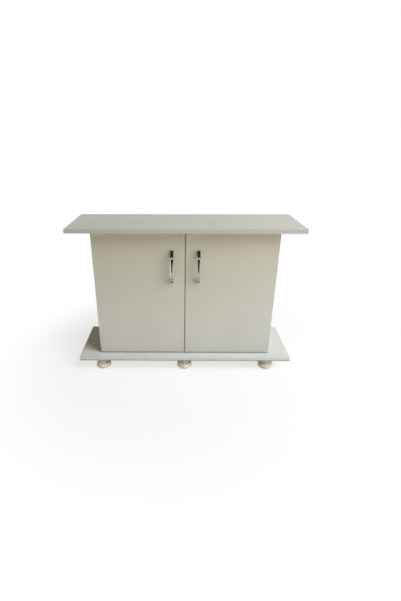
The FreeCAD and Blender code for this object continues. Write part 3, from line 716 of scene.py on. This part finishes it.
feet = [name for name in nodes if name.startswith("foot_") and name != "foot_screws"]
cream = foot_finish()
for node in feet:
    set_finish(node, cream)
print("feet:", feet)

# %% [markdown]
# ## Metals
#
# Three metals: chrome on the handles, nickel on the pressed hinges and zinc on the screws. What sets
# them apart is less the colour than how clean the mirror is. Chrome is the cleanest, and shows greasy
# fingerprints and fine specks, so both go into its roughness more than into its colour.

# %% Chrome handles
CHROME = (204, 203, 198)


def chrome_finish():
    graph = Finish("polished_chrome")
    place = graph.place()
    smears = graph.step(graph.noise(place, scale=130.0, detail=5.0), 0.48, 0.72)
    specks = graph.step(graph.noise(place, scale=1400.0), 0.66, 0.78)
    return graph.surface(
        Base_Color=graph.mix(0.6 * specks, shade(*CHROME), scaled(CHROME, 0.8)),
        Metallic=1.0,
        Roughness=0.04 + 0.06 * smears + 0.08 * specks,
    )


handles = ["left_handle", "right_handle"]
chrome = chrome_finish()
for node in handles:
    set_finish(node, chrome)
print("chrome pieces:", handles)

# %% [markdown]
# Pressed nickel is drawn in streaks, and zinc is a patchwork of dull crystals, which a texture of
# cells gives: each cell has a colour of its own, and a noise read at that colour sets how dull it is.
# The zinc waits for the screws.

# %% Nickel hinges and zinc
NICKEL = (188, 182, 170)
STREAK_DEPTH = 0.00002
ZINC = (182, 186, 190)
CRYSTALS = 900.0


def nickel_finish():
    graph = Finish("pressed_nickel")
    place = graph.place()
    streaks = graph.streaks(place, 1, along=120.0, across=1600.0, detail=3.0)
    dull = graph.noise(place, scale=70.0, detail=4.0)
    return graph.surface(
        Base_Color=graph.mix(dull, scaled(NICKEL, 0.9), scaled(NICKEL, 1.06)),
        Metallic=1.0,
        Roughness=0.20 + 0.16 * dull + 0.06 * streaks,
        Normal=graph.bump(streaks, STREAK_DEPTH),
    )


def zinc_finish():
    graph = Finish("zinc_plate")
    cells = graph.add("ShaderNodeTexVoronoi", {"Vector": graph.place(), "Scale": CRYSTALS})
    dull = graph.noise(cells["Color"], scale=3.0)
    return graph.surface(
        Base_Color=graph.mix(dull, scaled(ZINC, 0.84), scaled(ZINC, 1.05)),
        Metallic=1.0,
        Roughness=0.28 + 0.2 * dull,
    )


hinge_pieces = [name for name in nodes if "hinge" in name and not name.endswith("screws")]
nickel = nickel_finish()
zinc = zinc_finish()
for node in hinge_pieces:
    set_finish(node, nickel)
print("nickel pieces:", len(hinge_pieces))

# %% [markdown]
# ## Fasteners
#
# In the packed model a screw is a plain pin with a head. Real ones have a drive recess and a thread,
# and no two are turned alike. Each kind is made once, as a skin through rings of points from the tip
# to the middle of the head: a ring that isn't round makes the recess, and rings that wind make the
# thread. Its sizes are in millimetres, as in a catalogue.

# %% Rings and recesses
SEGMENTS = 24
TURNS = [math.tau * number / SEGMENTS for number in range(SEGMENTS)]
RINGS_PER_PITCH = 6
THREAD_SHARE = 0.3
CORE_SHARE = 0.74


def ring(height, radius):
    """Points of one ring in millimetres. The radius may depend on the turn."""
    radii = [radius(turn) if callable(radius) else radius for turn in TURNS]
    return [(r * math.cos(turn), r * math.sin(turn), height) for r, turn in zip(radii, TURNS)]


def cross(reach):
    """Outline of a cross recess: four arms whose half width spans one segment."""
    half_width = reach * math.tan(math.tau / SEGMENTS)

    def radius(turn):
        off = abs((turn + math.pi / 4) % (math.pi / 2) - math.pi / 4)
        return min(reach / math.cos(off), half_width / math.sin(off) if off else reach)

    return radius


def hexagon(reach):
    """Outline of a hexagon socket, by the distance to its flats."""

    def radius(turn):
        return reach / math.cos(turn % (math.pi / 3) - math.pi / 6)

    return radius


def thread_rings(low, high, radius, pitch):
    """Rings of a winding thread from low to high."""
    count = round((high - low) / pitch * RINGS_PER_PITCH)

    def winding(height):
        def at(turn):
            crest = abs((height / pitch - turn / math.tau) % 1 - 0.5) / THREAD_SHARE
            return radius * (CORE_SHARE + (1 - CORE_SHARE) * max(0, 1 - crest))

        return at

    heights = [low + (high - low) * number / count for number in range(count + 1)]
    return [ring(height, winding(height)) for height in heights]


print("outline of a cross recess:", [round(cross(1.0)(turn), 2) for turn in TURNS[:4]])

# %% [markdown]
# A dome-headed screw, a sunk connecting screw, a nail and a cover cap are four ways to stack rings.
# Every one hangs from its own top at the origin, so that setting it out needs only the place and the
# direction of each head. A turned head is a short table: how deep each ring lies, as a share of the
# head's height, and how wide it is, as a share of the head's radius.

# %% Screws
DOME_HEAD = ((1.0, 0.97), (0.92, 1.0), (0.55, 1.0), (0.35, 0.93), (0.12, 0.7))
SUNK_HEAD = ((1.0, 1.0), (0.1, 1.0), (0.0, 0.94))
CROSS_REACH = 0.62
HEXAGON_REACH = 0.42


def turned(profile, radius, height):
    """Rings of a turned head, from its underside up."""
    return [ring(-depth * height, share * radius) for depth, share in profile]


def dome_screw(head, height, shank, length, pitch):
    """Cross-recessed screw with a domed head. Its length is over all."""
    reach = head * CROSS_REACH
    return [
        [(0, 0, -length)],
        ring(shank * 1.2 - length, shank * 0.5),
        *thread_rings(shank * 2 - length, -height - shank, shank, pitch),
        ring(-height - shank * 0.5, shank),
        ring(-height, shank),
        *turned(DOME_HEAD, head, height),
        ring(-0.06 * height, cross(reach)),
        ring(-0.75 * height, cross(reach * 0.6)),
        [(0, 0, -0.9 * height)],
    ]


def sunk_screw(head, height, shank, core, plain, length, pitch):
    """Connecting screw: flat sunk head with a hexagon socket, plain shank, coarse thread."""
    return [
        [(0, 0, -length)],
        ring(core - length, core * 0.6),
        *thread_rings(core * 2 - length, -plain - core, core, pitch),
        ring(-plain, core),
        ring(-plain, shank),
        ring(-height, shank),
        *turned(SUNK_HEAD, head, height),
        ring(0, hexagon(head * HEXAGON_REACH)),
        ring(-0.85 * height, hexagon(head * 0.40)),
        [(0, 0, -0.95 * height)],
    ]


print("rings of a domed head:", len(DOME_HEAD))

# %% [markdown]
# The nail and the cap have no recess. Both are turned all the way to the middle: the nail's head is
# rounded at its rim, and the cap has a faint hollow, as a moulded one has. The catalogue then gives
# each node of fasteners its sizes. Radii are given, not diameters, and a length is over all.

# %% Nail, cap and the catalogue
NAIL_HEAD = ((1.0, 0.95), (0.7, 1.0), (0.35, 1.0), (0.1, 0.86), (0.06, 0.5))
CAP_RIM = ((1.0, 0.95), (0.85, 1.0), (0.3, 1.0), (0.08, 0.975), (0.0, 0.92), (0.04, 0.6))


def nail(head, height, shank, length):
    return [
        [(0, 0, -length)],
        ring(shank * 2.5 - length, shank),
        ring(-height, shank),
        *turned(NAIL_HEAD, head, height),
        [(0, 0, 0)],
    ]


def cap(radius, thickness):
    return [[(0, 0, -thickness)], *turned(CAP_RIM, radius, thickness), [(0, 0, -0.06 * thickness)]]


CUP_SCREW = dome_screw(head=3.4, height=1.6, shank=1.75, length=13.6, pitch=1.5)
HANDLE_SCREW = dome_screw(head=4.0, height=2.4, shank=2.0, length=26.4, pitch=0.8)
KINDS = {
    "connecting_screws": sunk_screw(
        head=5.0, height=3.5, shank=3.5, core=2.5, plain=16.4, length=48.0, pitch=3.0
    ),
    "foot_screws": dome_screw(head=5.0, height=3.0, shank=2.5, length=46.0, pitch=2.2),
    "hinge_plate_screws": dome_screw(head=4.0, height=2.0, shank=2.0, length=15.6, pitch=1.6),
    "hinge_arm_screws": dome_screw(head=3.8, height=2.0, shank=2.0, length=7.8, pitch=0.8),
    "left_cup_screws": CUP_SCREW,
    "right_cup_screws": CUP_SCREW,
    "left_handle_screws": HANDLE_SCREW,
    "right_handle_screws": HANDLE_SCREW,
    "back_panel_nails": nail(head=2.0, height=0.8, shank=0.8, length=20.8),
    "screw_caps": cap(radius=6.0, thickness=1.5),
}
print("rings of each kind:", {name: len(rings) for name, rings in KINDS.items()})

# %% [markdown]
# A skin joins each ring to the next with one row of faces. Where a ring is a single point, the faces
# there are triangles, which closes the tip and the middle of the head. The result shades smoothly,
# apart from edges that are sharp on the real thing.

# %% Skin
MILLIMETRE = 0.001
SHARP_ANGLE = math.radians(35)


def skin(name, rings):
    """Closed mesh through the rings. A ring of one point closes an end."""
    work = bmesh.new()
    rows = [[work.verts.new(Vector(point) * MILLIMETRE) for point in points] for points in rings]
    for low, high in zip(rows, rows[1:]):
        for first in range(SEGMENTS):
            last = (first + 1) % SEGMENTS
            corners = (low[first % len(low)], low[last % len(low)])
            corners += (high[last % len(high)], high[first % len(high)])
            work.faces.new(dict.fromkeys(corners))
    mesh = bpy.data.meshes.new(name)
    work.to_mesh(mesh)
    work.free()
    mesh.shade_smooth()
    mesh.set_sharp_from_angle(angle=SHARP_ANGLE)
    return mesh


masters = {node: skin(f"{node}_master", rings) for node, rings in KINDS.items()}
print("faces of each kind:", {node: len(mesh.polygons) for node, mesh in masters.items()})

# %% [markdown]
# ## Setting the fasteners out
#
# The packed model already says where every head is, so the seats are read from it: each separate
# shape in a node gives one seat, at the outer end of its head, with a direction that points out of it.
# The two ends differ in width, which tells the head from the tip.

# %% Seats
WELD = 1e-6


def separate_shapes(node):
    """Points of each separate shape in a node, from a merged copy of its mesh."""
    work = bmesh.new()
    work.from_mesh(nodes[node].data)
    bmesh.ops.remove_doubles(work, verts=work.verts, dist=WELD)
    done = set()
    shapes = []
    for start in work.verts:
        if start in done:
            continue
        done.add(start)
        shape = [start]
        for vert in shape:
            found = [edge.other_vert(vert) for edge in vert.link_edges]
            fresh = [other for other in dict.fromkeys(found) if other not in done]
            done.update(fresh)
            shape.extend(fresh)
        shapes.append([vert.co.copy() for vert in shape])
    work.free()
    return shapes


def seat(points):
    """Outer end of a fastener's head and the direction out of it."""
    low = Vector([min(point[axis] for point in points) for axis in range(3)])
    high = Vector([max(point[axis] for point in points) for axis in range(3)])
    span = high - low
    along = min(range(3), key=lambda axis: abs(span[axis - 1] - span[axis - 2]))
    middle = (low + high) / 2
    direction = Vector((0, 0, 0))
    direction[along] = 1

    def width(side):
        offsets = [point - middle for point in points if (point - middle)[along] * side > 0]
        return max((offset - direction * offset[along]).length for offset in offsets)

    if width(1) < width(-1) - WELD:
        direction = -direction
    return middle + direction * span[along] / 2, direction


seats = {node: [seat(points) for points in separate_shapes(node)] for node in KINDS}
print("seats:", {node: len(found) for node, found in seats.items()})

# %% [markdown]
# One Geometry Nodes tree sets a kind out: it puts the fastener on every seat, turns its top to the
# seat's direction, and twists each by its own amount, because nobody lines screws up. The seed is
# fixed, so the twist is the same every time. The tree ends by making real mesh of the copies.

# %% Tree that sets fasteners out
TREE_INPUTS = {
    "Seats": "NodeSocketGeometry",
    "Fastener": "NodeSocketObject",
    "Finish": "NodeSocketMaterial",
    "Most twist": "NodeSocketFloat",
    "Seed": "NodeSocketInt",
}


def setting_out_tree():
    tree = bpy.data.node_groups.new("set_out_fasteners", "GeometryNodeTree")
    graph = Graph(tree)
    for name, kind in TREE_INPUTS.items():
        tree.interface.new_socket(name, in_out="INPUT", socket_type=kind)
    tree.interface.new_socket("Fasteners", in_out="OUTPUT", socket_type="NodeSocketGeometry")
    given = graph.add("NodeGroupInput")
    named = {"Name": "direction"}
    direction = graph.add("GeometryNodeInputNamedAttribute", named, data_type="FLOAT_VECTOR")
    upright = graph.add("FunctionNodeAlignRotationToVector", {"Vector": direction}, axis="Z")
    shape = graph.add("GeometryNodeObjectInfo", {"Object": given["Fastener"]})["Geometry"]
    on_seats = {"Points": given["Seats"], "Instance": shape, "Rotation": upright}
    seated = graph.add("GeometryNodeInstanceOnPoints", on_seats)
    turns = {"Min": 0.0, "Max": given["Most twist"], "Seed": given["Seed"]}
    amount = graph.add("FunctionNodeRandomValue", turns, data_type="FLOAT")
    twist = graph.add("FunctionNodeAxisAngleToRotation", {"Axis": (0, 0, 1), "Angle": amount})
    twisted = graph.add("GeometryNodeRotateInstances", {"Instances": seated, "Rotation": twist})
    real = graph.add("GeometryNodeRealizeInstances", {"Geometry": twisted})
    finished = graph.add("GeometryNodeSetMaterial", {"Geometry": real, "Material": given["Finish"]})
    graph.add("NodeGroupOutput", {"Fasteners": finished})
    return tree


setting_out = setting_out_tree()
print("tree:", setting_out.name, len(setting_out.nodes), "nodes")

# %% [markdown]
# The cover caps over the connecting screws are moulded plastic, a touch greyer than the board round
# them. All the other fasteners are zinc-plated steel, whose finish is ready.

# %% Cap plastic
CAP_PORE_DEPTH = 0.00002


def cap_finish():
    graph = Finish("cap_plastic")
    place = graph.place()
    cloud = graph.noise(place, scale=260.0, detail=3.0)
    # The caps take the top board's shaded white, so they carry its painted shade.
    return graph.surface(
        Base_Color=graph.mix(cloud, scaled(SHADED_TOP_WHITE, 0.84), scaled(SHADED_TOP_WHITE, 0.92)),
        Roughness=0.34 + 0.14 * cloud,
        Normal=graph.bump(graph.noise(place, PORES), CAP_PORE_DEPTH),
    )


cap_plastic = cap_finish()
print("caps:", cap_plastic.name)

# %% [markdown]
# For each node the tree runs once. Its result becomes a plain mesh on the object that held the
# seats, the modifier comes off, and the new piece rides on the node's body and stands for the node.

# %% Set the fasteners out
def body_of(node):
    bodies = frame["record"]["behaviour"]["bodies"]
    return next(body for body, members in bodies.items() if node in members)


def seats_object(name, found):
    """Points at the seats, each with its direction."""
    mesh = bpy.data.meshes.new(name)
    mesh.from_pydata([place for place, _ in found], [], [])
    attribute = mesh.attributes.new("direction", "FLOAT_VECTOR", "POINT")
    for row, (_, direction) in zip(attribute.data, found):
        row.vector = direction
    return new_object(name, mesh)


def set_out(node, seed, material, slot):
    """Fasteners of one node as one plain mesh."""
    master = new_object(f"{node}_master", masters[node])
    piece = seats_object(f"{node}_made", seats[node])
    modifier = piece.modifiers.new("set_out", "NODES")
    modifier.node_group = setting_out
    values = {"Fastener": master, "Finish": material, "Most twist": math.tau, "Seed": seed}
    for item in setting_out.interface.items_tree:
        if item.name in values:
            modifier[item.identifier] = values[item.name]
    evaluated = piece.evaluated_get(bpy.context.evaluated_depsgraph_get())
    made = bpy.data.meshes.new_from_object(evaluated)
    piece.modifiers.clear()
    piece.data = made
    bpy.data.objects.remove(master)
    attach(piece, body_of(node))
    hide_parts(node)
    return piece


for seed, node in enumerate(KINDS):
    material, slot = (cap_plastic, "cap_plastic") if node == "screw_caps" else (zinc, "zinc_steel")
    piece = set_out(node, seed, material, slot)
    print(piece.name, len(piece.data.polygons), "faces on", body_of(node))

# %% [markdown]

# %% [markdown]
